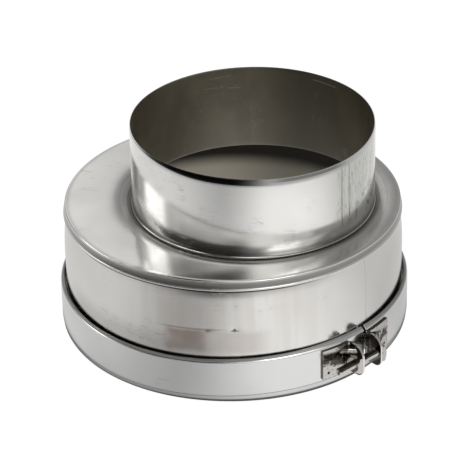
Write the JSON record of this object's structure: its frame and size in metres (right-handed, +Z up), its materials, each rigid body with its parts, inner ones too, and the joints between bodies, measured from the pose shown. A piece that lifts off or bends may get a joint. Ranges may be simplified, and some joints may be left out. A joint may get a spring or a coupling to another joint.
{
  "type": "flue pipe adapter",
  "caption": "Eccentric sheet-steel flue adapter: a round spigot on a pressed shoulder lid, a wide hollow casing and a bolted locking band.",
  "frame": {"origin": "on the casing axis, in the plane of the band's lower edge, on which the adapter stands", "axes": "+Z up along the casing towards the spigot, +X towards the side to which the spigot is offset, -Y towards the front"},
  "size_m": [0.2175, 0.2174, 0.1338],
  "materials": {
    "pipe_steel": "bright rolled stainless sheet",
    "lid_steel": "bright pressed stainless sheet",
    "casing_steel": "bright rolled stainless sheet",
    "band_steel": "satin stainless strip",
    "lug_steel": "bright pressed stainless sheet",
    "bolt_steel": "bright stainless fastener"
  },
  "bodies": {
    "root": {"spigot": "pipe_steel", "shoulder_lid": "lid_steel", "casing": "casing_steel", "locking_band": "band_steel", "left_lug": "lug_steel", "right_lug": "lug_steel", "clamp_bolt": "bolt_steel", "clamp_nut": "bolt_steel"}
  },
  "joints": []
}
